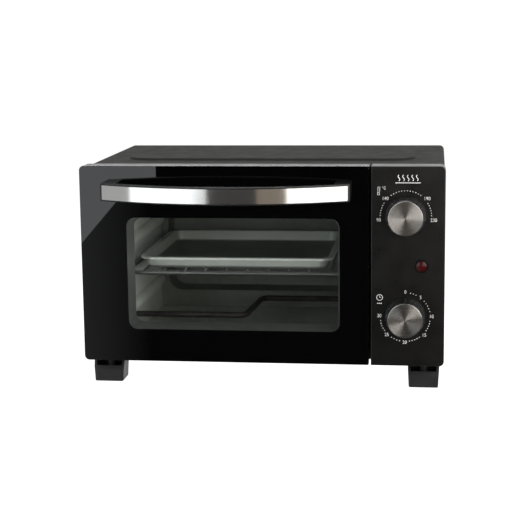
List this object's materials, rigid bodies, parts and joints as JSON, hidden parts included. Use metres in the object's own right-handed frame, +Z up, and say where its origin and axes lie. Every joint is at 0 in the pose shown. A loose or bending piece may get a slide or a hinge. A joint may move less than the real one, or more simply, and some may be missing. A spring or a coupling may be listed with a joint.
{
  "type": "toaster oven",
  "caption": "Countertop toaster oven: folded steel body on plastic feet, bottom-hinged glass door with bowed handle, side control panel with knobs and lamp, rack and tray inside.",
  "frame": {"origin": "bottom centre of the bounding box, on the surface the feet stand on", "axes": "+X to the right seen from the front, along the width; +Y to the rear; +Z up; the door faces -Y"},
  "size_m": [0.37, 0.315, 0.23],
  "materials": {
    "cover_paint": "warm dark grey powder coat, satin",
    "black_paint": "black enamel, satin",
    "galvanised": "aluminised steel sheet, dull",
    "door_rim": "black gloss",
    "glass": "clear tempered glass, printed border",
    "panel_plastic": "black, fine matt grain",
    "knob_plastic": "black, satin",
    "knob_metal": "spun, radial brushing",
    "handle_plastic": "black, satin gloss",
    "brushed_steel": "lengthwise brushing",
    "lamp_red": "dark red translucent",
    "heater_steel": "heat-darkened steel sheath",
    "ceramic": "white steatite",
    "steel": "zinc plated",
    "spring_steel": "bright drawn wire",
    "black_screw": "black zinc",
    "chrome": "chrome-plated wire",
    "tray_metal": "aluminised steel, satin",
    "foot_plastic": "black, fine grain",
    "control_plastic": "ivory phenolic",
    "bush_rubber": "black",
    "wire_sleeve": "glass-fibre sleeve"
  },
  "bodies": {
    "oven": {"outer_cover": "cover_paint", "base_plate": "galvanised", "rear_panel": "galvanised", "front_frame": "black_paint", "cover_screws": "black_screw", "cavity_left_wall": "galvanised", "cavity_right_wall": "galvanised", "cavity_top": "galvanised", "cavity_floor": "galvanised", "heat_shield": "galvanised", "lower_heater": "heater_steel", "upper_heater": "heater_steel", "heater_flanges": "steel", "heater_insulators": "ceramic", "heater_terminals": "steel", "hinge_bracket_left": "steel", "hinge_bracket_right": "steel", "hinge_spring_left": "spring_steel", "hinge_spring_right": "spring_steel", "control_panel": "panel_plastic", "panel_screws": "steel", "thermostat_body": "ceramic", "timer_body": "control_plastic", "timer_bell": "steel", "control_screws": "steel", "lamp_lens": "lamp_red", "lamp_body": "control_plastic", "terminal_block": "control_plastic", "earth_tag": "steel", "cord_inlet_bush": "bush_rubber", "wiring_harness": "wire_sleeve", "foot_front_left": "foot_plastic", "foot_front_right": "foot_plastic", "foot_rear_left": "foot_plastic", "foot_rear_right": "foot_plastic", "foot_screws": "steel"},
    "door": {"door_glass": "glass", "door_frame": "door_rim", "door_inner_panel": "galvanised", "door_screws": "steel", "hinge_pins": "steel", "handle_bar": "handle_plastic", "handle_face": "brushed_steel", "handle_screws": "steel"},
    "thermostat_dial": {"thermostat_knob": "knob_plastic", "thermostat_knob_cap": "knob_metal", "thermostat_shaft": "steel"},
    "timer_dial": {"timer_knob": "knob_plastic", "timer_knob_cap": "knob_metal", "timer_shaft": "steel"},
    "rack": {"wire_rack": "chrome"},
    "tray": {"baking_tray": "tray_metal"}
  },
  "joints": [
    {"name": "door_hinge", "type": "hinge", "parent": "oven", "child": "door", "pos_m": [0, -0.0915, 0.036], "axis": [1, 0, 0], "range_deg": [0, 78], "stiffness_Nm_per_rad": 0.35, "springref_deg": -51.57},
    {"name": "thermostat_turn", "type": "hinge", "parent": "oven", "child": "thermostat_dial", "pos_m": [0.146, -0.1145, 0.1801], "axis": [0, 1, 0], "range_deg": [0, 194.5]},
    {"name": "timer_turn", "type": "hinge", "parent": "oven", "child": "timer_dial", "pos_m": [0.146, -0.1145, 0.078], "axis": [0, 1, 0], "range_deg": [0, 270]},
    {"name": "rack_slide", "type": "slide", "parent": "oven", "child": "rack", "axis": [0, -1, 0], "range_m": [-0.008, 0.006]},
    {"name": "tray_lift", "type": "slide", "parent": "rack", "child": "tray", "axis": [0, 0, 1], "range_m": [0, 0.05]}
  ]
}
